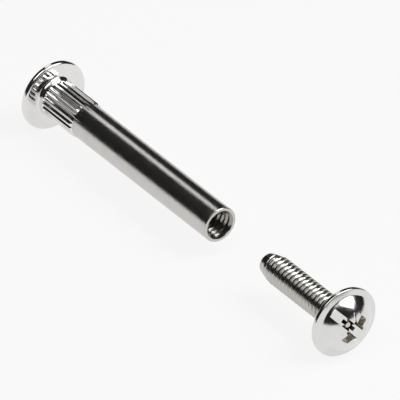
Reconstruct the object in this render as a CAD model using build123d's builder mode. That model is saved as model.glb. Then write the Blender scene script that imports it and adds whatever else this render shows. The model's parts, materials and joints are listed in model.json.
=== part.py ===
from build123d import *

import os
from math import radians, sqrt, tan

# Binding barrel and screw: a two-piece connector for panels, in nickel-plated steel.
#
# The barrel is a domed, flanged head on a long sleeve, bored and tapped from its open end.
# A splined neck under the head bites into the panel and stops the barrel from turning.
# The screw has the same domed, flanged head, with a cross recess and a slot for a
# driver of either kind, and a threaded shank.
# The shank runs into the barrel, and the two heads clamp the panels between them.
#
# Both pieces lie on one axis, along +X, on the rims of their heads, and +Z is up.
# The origin is on the surface they lie on, below the middle of the set's length.
# Threads are plain cylinders here: the shank is as wide as the crests of its thread,
# and the bore is that width and a running clearance.

# ---------------------------------------------------------------- driving dimensions, mm
# heads, alike on both pieces
head_dia = 10.2
head_height = 3.25          # seat face to the top of the crown
crown_dia = 8.4             # where the crown rises out of the flange
crown_foot = 1.05           # seat face to the foot of the crown
rim_thickness = 0.7         # flange at its edge
seat_rounding = 0.35        # rim, on the side that bears on the panel
rim_bevel = 0.15            # rim, on the crown's side

# barrel
barrel_length = 38.1        # seat face to the mouth
sleeve_dia = 5.16
neck_dia = 5.56             # across the crests of the splines
neck_fillet = 0.4
collar_length = 0.85        # plain ring between the seat face and the splines
neck_length = 7.5           # seat face to the end of the slope behind the splines
neck_slope = 0.45           # length of that slope
spline_count = 22
spline_bite = 0.05          # how far the grooves go below the sleeve's surface
mouth_chamfer = 0.1
mouth_countersink = 0.1

# screw
thread_dia = 4.07           # number 8 thread, across its crests
shank_length = 16.7         # seat face to the tip
lead_length = 2.6           # tapered start of the thread, behind the tip
tip_dia = 2.84
tip_rounding = 0.5

# drive: a slot across the crown and a cross recess on the same middle
slot_depth = 1.55           # below the top of the crown
recess_dia = 4.3            # across the wings where they leave the crown
recess_depth = 2.35         # top of the crown to the foot of the wings
wing_width = 1.25           # of the slot too
pit_width = 0.55            # the pair of wings under the slot's floor is narrower
pit_span = 2.9              # and shorter
wing_lean = 26.5            # degrees that the outer ends of the wings lean inward
point_depth = 0.45          # from the foot of the wings to their common point
rib_span = 2.7              # across the narrow slots between the wings
rib_width = 0.45
mark_start = 1.6            # marks pressed into the crown between the wings
mark_end = 2.5
mark_width = 0.25
mark_depth = 0.1
recess_turn = 49.4          # degrees, a wing's angle from upright

# fits and layout
thread_clearance = 0.06     # radial, between the shank and the bore
bore_reserve = 4.0          # full bore beyond the tip when the screw is home
drill_angle = 118.0         # included angle of the bore's end
standoff = 10.7             # from the mouth to the tip of the screw, apart

# ---------------------------------------------------------------- derived sizes
head_r = head_dia / 2
sleeve_r = sleeve_dia / 2
neck_r = neck_dia / 2
shank_r = thread_dia / 2
tip_r = tip_dia / 2
recess_r = recess_dia / 2
spline_depth = neck_r - sleeve_r + spline_bite
shank_flare = mouth_countersink         # so that it enters the mouth when home
bore_r = shank_r + thread_clearance
bore_depth = shank_length + bore_reserve
drill_point = bore_r / tan(radians(drill_angle / 2))
wing_slope = tan(radians(wing_lean))
crown_rise = head_height - crown_foot
crown_sphere_r = (crown_rise**2 + (crown_dia / 2) ** 2) / (2 * crown_rise)
crown_drop = crown_sphere_r - sqrt(crown_sphere_r**2 - recess_r**2)    # top to the wings' ends
foot_r = recess_r - (recess_depth - crown_drop) * wing_slope
set_length = 2 * head_height + barrel_length + standoff + shank_length

# Each piece is drawn on its own half section: X runs from the seat face along the
# shank, Y is the radius, and the head is on the negative side.
barrel_section = Plane(
    origin=(head_height - set_length / 2, 0, head_r), x_dir=(1, 0, 0), z_dir=(0, -1, 0)
)
screw_section = Plane(
    origin=(set_length / 2 - head_height, 0, head_r), x_dir=(-1, 0, 0), z_dir=(0, 1, 0)
)
set_axis = Axis(origin=(0, 0, head_r), direction=(1, 0, 0))


def head_outline(section):
    """Half outline of a head: a domed crown on a thin flange with a rounded rim."""
    with BuildSketch(section) as outline:
        with BuildLine():
            TangentArc((-head_height, 0), (-crown_foot, crown_dia / 2), tangent=(0, 1))
            Polyline(
                (-crown_foot, crown_dia / 2),
                (-rim_thickness, head_r),
                (0, head_r),
                (0, 0),
                (-head_height, 0),
            )
        make_face()
        rim_corners = outline.vertices().group_by(Axis.Y)[-1].sort_by(Axis.X)
        chamfer(rim_corners[0], rim_bevel)
        seat_corner = outline.vertices().group_by(Axis.Y)[-1].sort_by(Axis.X)[-1]
        fillet(seat_corner, seat_rounding)
    return outline.sketch


def across(section, distance):
    """Plane square to a piece's axis, this far from its seat face, facing along its shank."""
    return Plane(
        origin=section.from_local_coords((distance, 0, 0)),
        x_dir=section.y_dir,
        z_dir=section.x_dir,
    )


# ---------------------------------------------------------------- barrel
with BuildPart() as barrel:
    revolve(head_outline(barrel_section), axis=set_axis)

    # neck, filleted into the seat face, and the sleeve
    with BuildSketch(barrel_section):
        with BuildLine():
            RadiusArc((0, neck_r + neck_fillet), (neck_fillet, neck_r), neck_fillet)
            Polyline(
                (neck_fillet, neck_r),
                (neck_length - neck_slope, neck_r),
                (neck_length, sleeve_r),
                (barrel_length - mouth_chamfer, sleeve_r),
                (barrel_length, sleeve_r - mouth_chamfer),
                (barrel_length, 0),
                (0, 0),
                (0, neck_r + neck_fillet),
            )
        make_face()
    revolve(axis=set_axis)

    # splines: V grooves at a right angle, from the collar to the end of the neck
    with BuildSketch(across(barrel_section, collar_length)):
        with PolarLocations(neck_r + spline_depth, spline_count):
            Rectangle(2 * spline_depth * 2**0.5, 2 * spline_depth * 2**0.5, rotation=45)
    extrude(amount=neck_length - collar_length, mode=Mode.SUBTRACT)

    # blind bore with a countersunk mouth and a drilled end
    with BuildSketch(barrel_section):
        with BuildLine():
            Polyline(
                (barrel_length, 0),
                (barrel_length, bore_r + mouth_countersink),
                (barrel_length - mouth_countersink, bore_r),
                (barrel_length - bore_depth, bore_r),
                (barrel_length - bore_depth - drill_point, 0),
                close=True,
            )
        make_face()
    revolve(axis=set_axis, mode=Mode.SUBTRACT)

barrel.part.label = "barrel"

# ---------------------------------------------------------------- drive, as a solid
with BuildPart() as recess:
    # wings and the narrow slots between them, straight down from the top of the crown
    with BuildSketch(across(screw_section, -head_height)):
        Rectangle(recess_dia + wing_width, wing_width, rotation=recess_turn)
        Rectangle(pit_span, pit_width, rotation=recess_turn + 90)
        for turn in (recess_turn + 45, recess_turn - 45):
            Rectangle(rib_span, rib_width, rotation=turn)
    extrude(amount=recess_depth + point_depth)

    # the ends of the wings lean inward on a cone, and their feet run to a shallow point
    with BuildSketch(screw_section):
        with BuildLine():
            Polyline(
                (-head_height, 0),
                (-head_height, recess_r + crown_drop * wing_slope),
                (-head_height + recess_depth, foot_r),
                (-head_height + recess_depth + point_depth, 0),
                close=True,
            )
        make_face()
    revolve(axis=set_axis, mode=Mode.INTERSECT)

    # slot along one pair of wings, out through both sides of the crown
    with BuildSketch(across(screw_section, -head_height)):
        Rectangle(crown_dia, wing_width, rotation=recess_turn + 90)
    extrude(amount=slot_depth)

# ---------------------------------------------------------------- marks between the wings
with BuildPart() as marks:
    with BuildSketch(across(screw_section, -head_height)):
        with PolarLocations((mark_start + mark_end) / 2, 4, start_angle=recess_turn + 45):
            Rectangle(mark_end - mark_start, mark_width)
    extrude(amount=crown_foot)
    # leave only what is above the crown's own shape, sunk by the depth of the marks
    sunk_section = Plane(
        origin=screw_section.from_local_coords((mark_depth, 0, 0)),
        x_dir=screw_section.x_dir,
        z_dir=screw_section.z_dir,
    )
    revolve(head_outline(sunk_section), axis=set_axis, mode=Mode.SUBTRACT)

# ---------------------------------------------------------------- screw
with BuildPart() as screw:
    revolve(head_outline(screw_section), axis=set_axis)

    # shank, flared into the seat face, tapered to a rounded tip
    with BuildSketch(screw_section) as shank_outline:
        with BuildLine():
            Polyline(
                (0, shank_r + shank_flare),
                (shank_flare, shank_r),
                (shank_length - lead_length, shank_r),
                (shank_length, tip_r),
                (shank_length, 0),
                (0, 0),
                close=True,
            )
        make_face()
        tip_corner = shank_outline.vertices().group_by(Axis.X)[-1].sort_by(Axis.Y)[-1]
        fillet(tip_corner, tip_rounding)
    revolve(axis=set_axis)

    add(recess.part, mode=Mode.SUBTRACT)
    add(marks.part, mode=Mode.SUBTRACT)

screw.part.label = "screw"

# ---------------------------------------------------------------- export
os.makedirs("parts", exist_ok=True)
export_step(barrel.part, "parts/barrel.step")
export_step(screw.part, "parts/screw.step")
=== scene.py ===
import json
import math

import bmesh
import bpy
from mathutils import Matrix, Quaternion, Vector


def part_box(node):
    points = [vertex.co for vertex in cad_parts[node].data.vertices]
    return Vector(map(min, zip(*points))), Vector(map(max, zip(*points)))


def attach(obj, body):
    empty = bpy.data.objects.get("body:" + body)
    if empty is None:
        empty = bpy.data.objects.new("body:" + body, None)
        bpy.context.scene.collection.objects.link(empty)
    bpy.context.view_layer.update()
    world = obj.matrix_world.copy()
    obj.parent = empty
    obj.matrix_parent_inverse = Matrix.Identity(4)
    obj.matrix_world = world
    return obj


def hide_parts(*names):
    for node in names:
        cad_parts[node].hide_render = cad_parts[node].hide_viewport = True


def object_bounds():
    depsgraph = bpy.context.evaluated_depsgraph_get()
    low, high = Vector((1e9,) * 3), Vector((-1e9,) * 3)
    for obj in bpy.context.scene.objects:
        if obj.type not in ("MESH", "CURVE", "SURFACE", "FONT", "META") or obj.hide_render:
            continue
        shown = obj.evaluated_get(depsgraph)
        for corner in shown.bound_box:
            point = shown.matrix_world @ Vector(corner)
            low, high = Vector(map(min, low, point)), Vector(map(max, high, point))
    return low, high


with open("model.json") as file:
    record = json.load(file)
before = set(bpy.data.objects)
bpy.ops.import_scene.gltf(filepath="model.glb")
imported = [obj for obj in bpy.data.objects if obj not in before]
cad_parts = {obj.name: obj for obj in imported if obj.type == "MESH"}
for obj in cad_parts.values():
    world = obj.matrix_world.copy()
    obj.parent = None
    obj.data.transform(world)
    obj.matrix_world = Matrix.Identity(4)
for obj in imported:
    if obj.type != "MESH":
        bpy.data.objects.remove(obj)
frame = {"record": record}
cad_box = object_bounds()

# ---------------------------------------------------------------- the barrel
# A steel piece turned from bar, with a domed head on a thin flange, a neck with straight
# splines rolled into it, and a long sleeve drilled and tapped from its open end. It is
# nickel plated all over, bright on the head and the neck. The sleeve is rougher and darker,
# its darker tone partly duller plating and partly painted shade, and the bore is darker
# still, all painted shade for the inside of the hole.

MM = 0.001
mounts = {m["name"]: m for m in frame["record"]["mounts"]}
travel = frame["record"]["behaviour"]["joints"][0]["range_m"][1] / MM
barrel_low, barrel_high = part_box("barrel")
axis_height = (barrel_low[2] + barrel_high[2]) / 2 / MM
head_r = (barrel_high[2] - barrel_low[2]) / 2 / MM
barrel_seat = mounts["barrel_seat"]["pos_m"][0] / MM
screw_seat = mounts["screw_seat"]["pos_m"][0] / MM
head_height = barrel_seat - barrel_low[0] / MM
barrel_length = barrel_high[0] / MM - barrel_seat
sleeve_r = mounts["sleeve"]["dims"]["r_mm"]

crown_r = 4.2               # foot of the crown
crown_foot = 1.05           # its height over the seat face
rim_thickness = 0.7
seat_rounding = 0.35        # flange's edge, on the side that bears on the panel
rim_rounding = 0.18         # flange's edge, on the crown's side
crease_radius = 0.3         # hollow where the crown meets the flange
seat_rings = (4.4, 4.0, 3.6)    # radii of the rings across the flat seat face

neck_r = 2.78               # crests of the splines
neck_fillet = 0.4
collar_length = 0.85        # plain ring between the seat face and the splines
neck_length = 7.5
neck_slope = 0.45
splines = 22
spline_root = 2.53
spline_start = 0.24         # length over which the grooves sink in behind the collar
spline_entry = 1.4          # how steeply they do, as depth over length
collar_ring = 0.8           # last ring before the splines
slope_ring = 0.06           # first ring behind the slope's foot
mouth_chamfer = 0.08
mouth_rounding = 0.06       # both edges of the chamfer
mouth_ring = 0.03           # last ring before the countersink
barrel_sides = 352          # 16 to a spline

pitch = 25.4 / 32           # number 8, 32-thread
inner_crest_r = 1.70        # internal thread, towards the axis
inner_root_r = 2.12
countersink_r = 2.14
threaded_depth = 18.5       # from the mouth, like the next
drilled_depth = 20.7
thread_lead = 0.6           # plain bore that belongs to the thread's skin
inner_run_out = 0.5         # how steeply the last turns fade, as height over length
ridge_half = 0.46           # half width of a thread's ridge, in pitches
drill_half_angle = math.radians(59)
inner_places = (0, 0.14, 0.32, 0.5, 0.68, 0.86)     # points along one pitch


def arc(center, radius, start, end, steps):
    """Points (x, r) on an arc about center, from angle start to end in degrees from +x."""
    turns = [math.radians(start + (end - start) * k / steps) for k in range(steps + 1)]
    return [(center[0] + radius * math.cos(a), center[1] + radius * math.sin(a)) for a in turns]


def straight(start, end, steps):
    """Points along a straight stretch, without its two ends."""
    return [
        (start[0] + (end[0] - start[0]) * k / steps, start[1] + (end[1] - start[1]) * k / steps)
        for k in range(1, steps)
    ]


def rounded(before, corner, after, radius, steps):
    """The corner of an outline, rounded with an arc that meets both sides smoothly."""
    ax, ar = before[0] - corner[0], before[1] - corner[1]
    bx, br = after[0] - corner[0], after[1] - corner[1]
    la, lb = math.hypot(ax, ar), math.hypot(bx, br)
    ux, ur, wx, wr = ax / la, ar / la, bx / lb, br / lb
    half = math.acos(ux * wx + ur * wr) / 2
    reach = radius / math.tan(half)
    mx, mr = ux + wx, ur + wr
    lm = math.hypot(mx, mr)
    center = (
        corner[0] + mx / lm * radius / math.sin(half),
        corner[1] + mr / lm * radius / math.sin(half),
    )
    start = math.atan2(corner[1] + ur * reach - center[1], corner[0] + ux * reach - center[0])
    end = math.atan2(corner[1] + wr * reach - center[1], corner[0] + wx * reach - center[0])
    sweep = (end - start + math.pi) % (2 * math.pi) - math.pi
    return arc(center, radius, math.degrees(start), math.degrees(start + sweep), steps)


crown_rise = head_height - crown_foot
sphere_r = (crown_rise**2 + crown_r**2) / (2 * crown_rise)


def head_outline():
    """Crown and flange as (x, r), from the crown's top to the seat face. x is 0 at the seat."""
    spread = math.degrees(math.asin(crown_r / sphere_r))
    crown = arc((sphere_r - head_height, 0), sphere_r, 180, 180 - spread, steps=22)
    foot, edge = (-crown_foot, crown_r), (-rim_thickness, head_r)
    points = crown[:-2]         # the last two make way for the hollow
    points += rounded(crown[-2], foot, edge, crease_radius, steps=8)
    points += straight(points[-1], edge, steps=3)[:-1]
    points += rounded(foot, edge, (0, head_r), rim_rounding, steps=6)
    points += arc((-seat_rounding, head_r - seat_rounding), seat_rounding, 90, 0, steps=8)
    return points


class Skin:
    """A surface made of closed rings of points round one axis, joined ring to ring."""

    def __init__(self, turns, origin_x, facing):
        self.turns = turns
        self.sides = len(turns)
        self.origin_x = origin_x
        self.facing = facing
        self.points = []
        self.faces = []

    def put(self, x, r, turn):
        self.points.append(
            (
                (self.origin_x + self.facing * x) * MM,
                r * math.cos(turn) * MM,
                (axis_height + r * math.sin(turn)) * MM,
            )
        )

    def ring(self, place):
        """Adds a ring, each point of it where place gives (x, r) for its angle."""
        first = len(self.points)
        for turn in self.turns:
            self.put(*place(turn), turn)
        return first

    def join(self, a, b):
        for k in range(self.sides):
            n = (k + 1) % self.sides
            self.faces.append((a + k, a + n, b + n, b + k))

    def close(self, ring, x):
        """Closes a ring with a fan to a point on the axis."""
        tip = len(self.points)
        self.put(x, 0, 0)
        for k in range(self.sides):
            self.faces.append((ring + k, ring + (k + 1) % self.sides, tip))

    def turned(self, stations, previous=None):
        """Adds rings for a list of (x, radius), and returns the last. A radius is a number,
        or a function of the angle and x."""
        for x, radius in stations:
            if callable(radius):
                ring = self.ring(lambda turn: (x, radius(turn, x)))
            else:
                ring = self.ring(lambda turn: (x, radius))
            if previous is not None:
                self.join(previous, ring)
            previous = ring
        return previous

    def thread(self, start, end, surface, profile):
        """A right-handed helical skin between two planes. profile holds the places in one
        pitch where it has points, and surface gives the radius from the angle and x."""
        early, spare = 1.5, 3       # pitches before the start, and turns in all to spare
        columns = len(profile)
        rounds = math.ceil((end - start) / pitch) + spare
        order = sorted(self.facing * turn % (2 * math.pi) for turn in self.turns)
        first = len(self.points)
        for step in range(rounds * self.sides + 1):
            turn = order[step % self.sides] + 2 * math.pi * (step // self.sides)
            for place in profile:
                x = start + pitch * (turn / (2 * math.pi) - early + place)
                x = min(max(x, start), end)
                self.put(x, surface(turn, x), self.facing * turn)
        for step in range((rounds - 1) * self.sides):
            for j in range(columns):
                a = first + step * columns + j
                b = a + columns
                if j < columns - 1:
                    c, d = b + 1, a + 1
                else:
                    c = first + (step + 1 + self.sides) * columns
                    d = first + (step + self.sides) * columns
                self.faces.append((a, b, c, d))

    def piece(self, name):
        """The finished mesh object: doubled points merged, normals outward, edges sharp."""
        same_point, sliver = 2e-7, 1e-7     # metres
        sharp_angle = math.radians(38)
        mesh = bpy.data.meshes.new(name)
        mesh.from_pydata(self.points, [], self.faces)
        work = bmesh.new()
        work.from_mesh(mesh)
        bmesh.ops.remove_doubles(work, verts=work.verts, dist=same_point)
        bmesh.ops.dissolve_degenerate(work, edges=work.edges, dist=sliver)
        bmesh.ops.recalc_face_normals(work, faces=work.faces)
        work.to_mesh(mesh)
        work.free()
        mesh.shade_smooth()
        mesh.set_sharp_from_angle(angle=sharp_angle)
        made = bpy.data.objects.new(name, mesh)
        bpy.context.scene.collection.objects.link(made)
        return made


def splined(turn, x):
    """Radius of the neck: rolled grooves that run out at the collar and on the slope."""
    depth = min(neck_r - spline_root, max(x - collar_length, 0) * spline_entry)
    groove = neck_r - depth * (1 + math.cos(splines * turn)) / 2
    slope = neck_r - max(x - (neck_length - neck_slope), 0) * (neck_r - sleeve_r) / neck_slope
    return min(groove, slope)


def ridge(along, turn):
    """Height of a thread's ridge, 1 on its crest and 0 in its root, along being in pitches."""
    off = abs((along - turn / (2 * math.pi) + 0.5) % 1 - 0.5)
    return (1 + math.cos(math.pi * min(off / ridge_half, 1))) / 2


# the two threads interleave where the screw is home
inner_phase = ((screw_seat - barrel_seat - travel) / pitch + 0.5) % 1


def inner_thread(turn, x):
    """Radius of the tapped hole at an angle, x being the distance from the seat face."""
    r = inner_root_r - (inner_root_r - inner_crest_r) * ridge(x / pitch - inner_phase, turn)
    run_out = inner_crest_r + max(x - (barrel_length - threaded_depth), 0) * inner_run_out
    countersink = countersink_r - (barrel_length - x)
    return max(min(r, run_out), countersink)


barrel_skin = Skin([2 * math.pi * k / barrel_sides for k in range(barrel_sides)], barrel_seat, 1)
last = barrel_skin.turned(head_outline()[1:])
barrel_skin.close(0, -head_height)
last = barrel_skin.turned([(0, r) for r in (*seat_rings, neck_r + neck_fillet)], last)
fillet = arc((neck_fillet, neck_r + neck_fillet), neck_fillet, 180, 270, steps=8)
last = barrel_skin.turned(fillet[1:], last)
last = barrel_skin.turned([(collar_ring, neck_r)], last)

grooves_start = collar_length + spline_start
grooves_end = neck_length - neck_slope
spline_stations = [collar_length + spline_start * k / 8 for k in range(8)]
spline_stations += [grooves_start + (grooves_end - grooves_start) * k / 8 for k in range(9)]
spline_stations += [grooves_end + neck_slope * k / 6 for k in range(1, 7)]
last = barrel_skin.turned([(x, splined) for x in spline_stations], last)

sleeve_start = (neck_length, sleeve_r)
mouth_edge = (barrel_length - mouth_chamfer, sleeve_r)
mouth_face = (barrel_length, sleeve_r - mouth_chamfer)
mouth = rounded(sleeve_start, mouth_edge, mouth_face, mouth_rounding, steps=3)
mouth += rounded(mouth_edge, mouth_face, (barrel_length, 0), mouth_rounding, steps=3)
mouth += [(barrel_length, countersink_r + mouth_ring), (barrel_length, countersink_r)]
last = barrel_skin.turned([(neck_length + slope_ring, sleeve_r)], last)
last = barrel_skin.turned(straight(sleeve_start, mouth_edge, steps=14), last)
last = barrel_skin.turned(mouth, last)

thread_end = barrel_length - threaded_depth - thread_lead
drill_end = barrel_length - drilled_depth
barrel_skin.thread(thread_end, barrel_length, inner_thread, inner_places)
last = barrel_skin.turned([(thread_end, inner_crest_r), (drill_end, inner_crest_r)])
barrel_skin.close(last, drill_end - inner_crest_r / math.tan(drill_half_angle))
barrel = barrel_skin.piece("barrel_body")


def nickel(name, tone, polish, grain):
    """Nickel plate on steel. Its tone and roughness drift a little over the surface, and a
    fine grain, as deep as grain in millimetres, breaks up what it reflects."""
    rough_drift, tone_drift = 0.3, 0.05     # shares up and down
    material = bpy.data.materials.new(name)
    material.use_nodes = True
    nodes, links = material.node_tree.nodes, material.node_tree.links
    surface = nodes["Principled BSDF"]
    surface.inputs["Metallic"].default_value = 1.0
    place = nodes.new("ShaderNodeTexCoord")
    drift = nodes.new("ShaderNodeTexNoise")
    drift.inputs["Scale"].default_value = 700
    drift.inputs["Detail"].default_value = 3
    links.new(place.outputs["Object"], drift.inputs["Vector"])
    rough = nodes.new("ShaderNodeMapRange")
    rough.inputs["To Min"].default_value = polish * (1 - rough_drift)
    rough.inputs["To Max"].default_value = polish * (1 + rough_drift)
    links.new(drift.outputs["Fac"], rough.inputs["Value"])
    links.new(rough.outputs["Result"], surface.inputs["Roughness"])
    tint = nodes.new("ShaderNodeMix")
    tint.data_type = "RGBA"
    tint.inputs["A"].default_value = (*[(1 + tone_drift) * c for c in tone], 1)
    tint.inputs["B"].default_value = (*[(1 - tone_drift) * c for c in tone], 1)
    links.new(drift.outputs["Fac"], tint.inputs["Factor"])
    links.new(tint.outputs["Result"], surface.inputs["Base Color"])
    specks = nodes.new("ShaderNodeTexNoise")
    specks.inputs["Scale"].default_value = 5000
    specks.inputs["Detail"].default_value = 2
    links.new(place.outputs["Object"], specks.inputs["Vector"])
    bump = nodes.new("ShaderNodeBump")
    bump.inputs["Distance"].default_value = grain * MM
    links.new(specks.outputs["Fac"], bump.inputs["Height"])
    links.new(bump.outputs["Normal"], surface.inputs["Normal"])
    return material


def coat(piece, skin, materials, which):
    """Gives a piece its materials. which tells the place of a face's own in the list, from
    its distance from the seat face, its radius and its angle."""
    for material in materials:
        piece.data.materials.append(material)
    for face in piece.data.polygons:
        x = (face.center.x / MM - skin.origin_x) * skin.facing
        y, z = face.center.y / MM, face.center.z / MM - axis_height
        face.material_index = which(x, math.hypot(y, z), math.atan2(z, y))


head_plate, sleeve_plate_and_painted_shade, bore_painted_shade = range(3)     # places in the barrel's finish


def barrel_coat(x, r, turn):
    # faces in the bore take the plate that is darkened as painted shade
    if x > 0 and r < countersink_r:
        return bore_painted_shade
    return sleeve_plate_and_painted_shade if x > neck_length else head_plate


barrel_finish = [
    nickel("barrel_head_plate", (0.81, 0.80, 0.79), 0.12, 0.006),
    # the sleeve's plate is rougher and grainier than the head's; its darker tone is partly duller
    # plating and partly painted shade for the shadowed floor it reflects
    nickel("barrel_sleeve_plate", (0.60, 0.585, 0.565), 0.22, 0.022),
    # painted shade: the bore is made dark all round to stand in for the shade inside the hole
    nickel("barrel_bore_plate", (0.36, 0.345, 0.32), 0.18, 0.02),
]
coat(barrel, barrel_skin, barrel_finish, barrel_coat)
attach(barrel, "barrel")
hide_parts("barrel")

# ---------------------------------------------------------------- the screw
# A machine screw headed to match the barrel, in the same plated steel. Its crown takes a
# flat or a cross driver, with four short marks pressed between the wings. The thread is
# rolled the full length of the shank and runs out on a tapered, rounded tip. The thread's
# plate is darker, partly duller plating and partly painted shade of its valleys, and the
# pits under the slot's floor are painted near black as painted shade.

shank_length = screw_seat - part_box("screw")[0][0] / MM
screw_seat_rings = (4.2, 3.2)   # radii of the rings across the flat seat face
shank_flare = 0.1           # under the head
flare_ring = 0.03           # from the seat face, and as much wider than the thread
thread_r = 2.035
thread_root_r = 1.6
thread_start = 0.1
outer_run_out = 1.6         # how steeply the first turns fade, as height over length
outer_places = (0, 0.08, 0.16, 0.26, 0.36, 0.46, 0.54, 0.64, 0.74, 0.84, 0.92)
lead_length = 2.6
tip_length = 0.5            # plain end past the thread
tip_r = 1.42
tip_rounding = 0.45
screw_sides = 300

slot_depth = 1.8            # below the top of the crown
recess_r = 2.15             # ends of the wings, where they leave the crown
recess_depth = 2.7
wing_half = 0.625           # half width of the wings and the slot
pit_half = 0.275            # wings under the slot's floor, narrower and shorter
pit_reach = 1.6
wing_slope = math.tan(math.radians(26.5))
rib_reach = 1.35            # narrow slots between the wings
rib_half = 0.225
boss_r = 0.42               # middle of the floor, left standing between the wings
boss_foot = 0.03            # how much wider the ring round its foot is
boss_rounding = 0.1
recess_turn = math.radians(40.6)
brim_rounding = 0.07
mark_start, mark_end = 1.6, 2.5
mark_half = 0.16
mark_depth = 0.05
crown_edge_r = crown_r - 0.2    # last ring of the crown before its hollow
flange_gap = 0.01           # the flange's first ring is at least this much wider
crown_rings, brim_rings, wall_rings = 26, 4, 3


def screw_envelope(x):
    """Largest radius at x along the shank: full, then tapered towards the tip."""
    taper = (thread_r - tip_r) / lead_length
    return min(thread_r, thread_r - (x - (shank_length - lead_length)) * taper)


def outer_thread(turn, x):
    """Radius of the shank at an angle, x being the distance from the seat face."""
    r = thread_root_r + (thread_r - thread_root_r) * ridge(x / pitch, turn)
    run_out = thread_r - max(x - thread_start, 0) * outer_run_out
    return min(max(r, run_out), screw_envelope(x))


def crown_drop(r):
    """How far the crown's surface is below its top, at a radius."""
    return sphere_r - math.sqrt(sphere_r**2 - r**2)


def strip(off, half_width):
    """Distance from the axis to the side of a straight strip, off from its direction."""
    return half_width / max(abs(math.sin(off)), 1e-6)


def quarter_off(turn):
    """Angle from the nearest of four directions, the first being 0."""
    return (turn + math.pi / 4) % (math.pi / 2) - math.pi / 4


def cross_radius(turn, below):
    """How far the cross recess reaches from the axis, at a depth below the top."""
    end = recess_r - (below - crown_drop(recess_r)) * wing_slope
    wing = min(end, strip(turn - recess_turn, wing_half))
    pit = min(end, pit_reach, strip(turn - recess_turn - math.pi / 2, pit_half))
    rib = min(end, rib_reach, strip(quarter_off(turn - recess_turn - math.pi / 4), rib_half))
    return max(wing, pit, rib)


slot_exit_r = math.sqrt(sphere_r**2 - (sphere_r - slot_depth) ** 2)


def slot_radius(turn):
    """How far the driver's slot reaches from the axis, to its side or out of the crown."""
    off = turn - recess_turn - math.pi / 2
    return min(slot_exit_r, strip(off, wing_half))


def brim_radius(turn):
    """How far the whole drive reaches from the axis, where it leaves the crown."""
    return max(cross_radius(turn, crown_drop(recess_r)), slot_radius(turn))


def crown_place(turn, share):
    """Place on the crown, from the brim of the drive (0) to the crown's last ring (1)."""
    brim = brim_radius(turn) + brim_rounding
    r = brim + (crown_edge_r - brim) * share
    side = r * abs(math.sin(quarter_off(turn - recess_turn - math.pi / 4)))
    sunk = mark_depth * max(1 - side / mark_half, 0) if mark_start < r < mark_end else 0
    return -head_height + crown_drop(r) + sunk, r


def brim_place(turn, bend):
    """Place on the rounding of the brim, bend going from 0 on the crown to a right angle."""
    brim = brim_radius(turn)
    below = crown_drop(brim) + brim_rounding * (1 - math.cos(bend))
    return -head_height + min(below, slot_depth), brim + brim_rounding * (1 - math.sin(bend))


def wall_place(turn, share):
    """Place on the upper wall, from the brim (0) to the depth of the slot's floor (1)."""
    top = min(crown_drop(brim_radius(turn)) + brim_rounding, slot_depth)
    below = top + (slot_depth - top) * share
    return -head_height + below, max(cross_radius(turn, below), slot_radius(turn))


def pit_place(turn, share):
    """Place on the lower wall, from the slot's floor (0) to the foot of the wings (1)."""
    below = slot_depth + (recess_depth - slot_depth) * share
    return -head_height + below, cross_radius(turn, below)


def meeting(half_width):
    """Angle from a wing's direction where its side meets the narrow slot's side."""
    across = half_width * math.sin(math.pi / 4)
    return math.atan2(across, rib_half + across)


# the rings have a point at every corner of the drive
corners = []
rib_corner = math.asin(rib_half / rib_reach)
for half in (0, math.pi):
    wing, pit = recess_turn + half, recess_turn + half + math.pi / 2
    between = (wing + pit) / 2
    for side in (-1, 1):
        corners += [wing + side * math.asin(wing_half / recess_r)]
        corners += [wing + side * meeting(wing_half)]
        corners += [pit + side * math.asin(wing_half / slot_exit_r)]
        corners += [pit + side * meeting(wing_half), pit + side * meeting(pit_half)]
        corners += [between + side * rib_corner, between + math.pi / 2 + side * rib_corner]
head_turns = [2 * math.pi * k / screw_sides for k in range(screw_sides)]
for corner in corners:
    head_turns[round(corner * screw_sides / (2 * math.pi)) % screw_sides] = corner % (2 * math.pi)
screw_skin = Skin(sorted(head_turns), screw_seat, -1)


def drive_rings(place, shares):
    """Rings of the drive, one for each share of the way along a surface of it."""
    return [screw_skin.ring(lambda turn: place(turn, share)) for share in shares]


rings = drive_rings(crown_place, [1 - k / crown_rings for k in range(crown_rings + 1)])
rings += drive_rings(brim_place, [math.pi / 2 * k / brim_rings for k in range(1, brim_rings + 1)])
rings += drive_rings(wall_place, [k / wall_rings for k in range(wall_rings + 1)])
rings += drive_rings(pit_place, [k / wall_rings for k in range(wall_rings + 1)])
for a, b in zip(rings, rings[1:]):
    screw_skin.join(a, b)

floor_x, boss_x = -head_height + recess_depth, -head_height + slot_depth
boss = [(floor_x, boss_r + boss_foot)]
boss += rounded((floor_x, boss_r), (boss_x, boss_r), (boss_x, 0), boss_rounding, steps=4)
screw_skin.close(screw_skin.turned(boss, rings[-1]), boss_x)

flange = [p for p in head_outline() if p[1] > crown_edge_r + flange_gap]
last = screw_skin.turned(flange, rings[0])
last = screw_skin.turned([(0, r) for r in (*screw_seat_rings, thread_r + shank_flare)], last)
screw_skin.turned([(flare_ring, thread_r + flare_ring), (thread_start, thread_r)], last)
tip_start = shank_length - tip_length
screw_skin.thread(thread_start, tip_start, outer_thread, outer_places)

nose = (tip_start, screw_envelope(tip_start))
tip = rounded(nose, (shank_length, tip_r), (shank_length, 0), tip_rounding, steps=8)
screw_skin.close(screw_skin.turned([nose, *tip]), shank_length)
screw = screw_skin.piece("screw_body")


crown_plate, thread_plate_and_painted_shade, recess_plate, pit_painted_shade = range(4)   # places in the screw's finish


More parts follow.
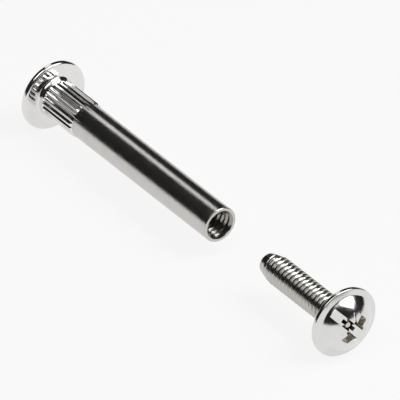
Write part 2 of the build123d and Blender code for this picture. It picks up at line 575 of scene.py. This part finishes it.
def screw_coat(x, r, turn):
    """The recess begins where a face is clear of the crown, and its pits below the slot, which
    take a near-black plate that is painted shade.
    """
    if x > 0:
        return thread_plate_and_painted_shade
    below = x + head_height
    wall_slack, brim_slack, floor_slack = 0.03, 0.1, 0.02
    in_drive = x < 0 and r < cross_radius(turn, below) + wall_slack
    if not in_drive or below <= crown_drop(r) + brim_slack:
        return crown_plate
    on_boss = r < boss_r and below < slot_depth + brim_slack
    along_slot = abs(math.cos(turn - recess_turn)) < 0.6    # within 37 degrees of it
    # painted shade: the pits below the slot's floor are coloured near black
    if along_slot and below > slot_depth + floor_slack and not on_boss:
        return pit_painted_shade
    return recess_plate


screw_finish = [
    nickel("screw_head_plate", (0.76, 0.755, 0.745), 0.15, 0.01),
    # the thread's plate is darker and warmer than the head's: partly duller plating, partly
    # painted shade of the thread's valleys
    nickel("screw_thread_plate", (0.55, 0.54, 0.51), 0.2, 0.012),
    nickel("screw_recess_plate", (0.78, 0.74, 0.66), 0.4, 0.03),
    # painted shade: near-black colour for the shade deep in the pits
    nickel("screw_pit_plate", (0.10, 0.09, 0.08), 0.4, 0.01),
]
coat(screw, screw_skin, screw_finish, screw_coat)
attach(screw, "screw")
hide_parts("screw")

# ---------------------------------------------------------------- the stage
# A pale floor under the set in a dim studio, with soft lamps over the screw, overhead,
# higher up and along the barrel, and a low card off the screw's end for the edges of its
# head. A long lens looks down on the set from that end.

floor_size = 3              # metres
floor_glow = 0.86           # how bright the floor is by itself, 1 being white
floor_in_metal = 0.9        # and how much of that the metal reflects

bpy.ops.mesh.primitive_plane_add(size=floor_size, location=(0, 0, cad_box[0][2]))
floor = bpy.context.object
floor.name = "floor"
paper = bpy.data.materials.new("paper")
paper.use_nodes = True
nodes, links = paper.node_tree.nodes, paper.node_tree.links
nodes["Principled BSDF"].inputs["Base Color"].default_value = (0.85, 0.85, 0.85, 1)
nodes["Principled BSDF"].inputs["Roughness"].default_value = 0.9
nodes["Principled BSDF"].inputs["Specular IOR Level"].default_value = 0.0


def combined(operation, first, second):
    """What a Math node makes of an output and of another output or a number."""
    node = nodes.new("ShaderNodeMath")
    node.operation = operation
    links.new(first, node.inputs[0])
    if isinstance(second, float):
        node.inputs[1].default_value = second
    else:
        links.new(second, node.inputs[1])
    return node.outputs["Value"]


rays = nodes.new("ShaderNodeLightPath")
mirrored = combined("MAXIMUM", rays.outputs["Is Glossy Ray"], rays.outputs["Is Transmission Ray"])
dimmed = combined("MULTIPLY", mirrored, floor_in_metal)
seen = combined("MAXIMUM", rays.outputs["Is Camera Ray"], dimmed)
share = combined("MULTIPLY", seen, floor_glow)
glow = nodes.new("ShaderNodeEmission")
glow.inputs["Color"].default_value = (1, 1, 1, 1)
blend = nodes.new("ShaderNodeMixShader")
links.new(share, blend.inputs["Fac"])
links.new(nodes["Principled BSDF"].outputs["BSDF"], blend.inputs[1])
links.new(glow.outputs["Emission"], blend.inputs[2])
links.new(blend.outputs["Shader"], nodes["Material Output"].inputs["Surface"])
floor.data.materials.append(paper)

world = bpy.data.worlds.new("studio")
bpy.context.scene.world = world
world.use_nodes = True
world.node_tree.nodes["Background"].inputs["Color"].default_value = (1, 1, 1, 1)
world.node_tree.nodes["Background"].inputs["Strength"].default_value = 0.016


def soft_lamp(name, toward, distance, width, height, radiance, roll=0):
    """A rectangular lamp in a direction from the set's middle, turned to face it. All
    lengths are in metres, and roll is in degrees about its own direction."""
    lamp = bpy.data.lights.new(name, "AREA")
    lamp.shape = "RECTANGLE"
    lamp.size = width
    lamp.size_y = height
    lamp.energy = radiance * math.pi * width * height
    made = bpy.data.objects.new(name, lamp)
    way = Vector(toward).normalized()
    made.location = way * distance
    turned = way.to_track_quat("Z", "Y") @ Quaternion((0, 0, 1), math.radians(roll))
    made.rotation_euler = turned.to_euler()
    bpy.context.scene.collection.objects.link(made)
    return made


soft_lamp("over_screw", (0.47, 0.45, 0.757), 0.6, 0.37, 0.41, radiance=4, roll=31)
soft_lamp("overhead", (0.03, -0.4, 0.915), 0.6, 0.4, 0.4, radiance=1.4)
soft_lamp("ceiling", (0.3, -0.05, 0.95), 0.7, 0.8, 0.5, radiance=0.8)
low_card = soft_lamp("low_card", (0.9, 0.45, 0.06), 0.6, 0.5, 0.08, radiance=0.8)
low_card.visible_camera = False
soft_lamp("along_barrel", (-0.67, 0.25, 0.70), 0.6, 0.14, 0.3, radiance=1.15)

azimuth, elevation = math.radians(54.1), math.radians(34.4)
back = (
    math.sin(azimuth) * math.cos(elevation),
    -math.cos(azimuth) * math.cos(elevation),
    math.sin(elevation),
)
right = (math.cos(azimuth), math.sin(azimuth), 0)
up = (
    -math.sin(elevation) * math.sin(azimuth),
    math.sin(elevation) * math.cos(azimuth),
    math.cos(elevation),
)
view_width = 53.6 * MM   # at the set's middle
aim_right, aim_up = 0.44 * MM, 0.91 * MM
lens = bpy.data.cameras.new("camera")
lens.lens = 1300
lens.sensor_width = 36
lens.clip_end = 20
distance = view_width * lens.lens / lens.sensor_width
aim = [right[k] * aim_right + up[k] * aim_up for k in range(3)]
aim[2] += axis_height * MM
camera = bpy.data.objects.new("camera", lens)
camera.location = [aim[k] + back[k] * distance for k in range(3)]
camera.rotation_euler = (math.pi / 2 - elevation, 0, azimuth)
bpy.context.scene.collection.objects.link(camera)
bpy.context.scene.camera = camera
bpy.context.scene.view_settings.view_transform = "Standard"
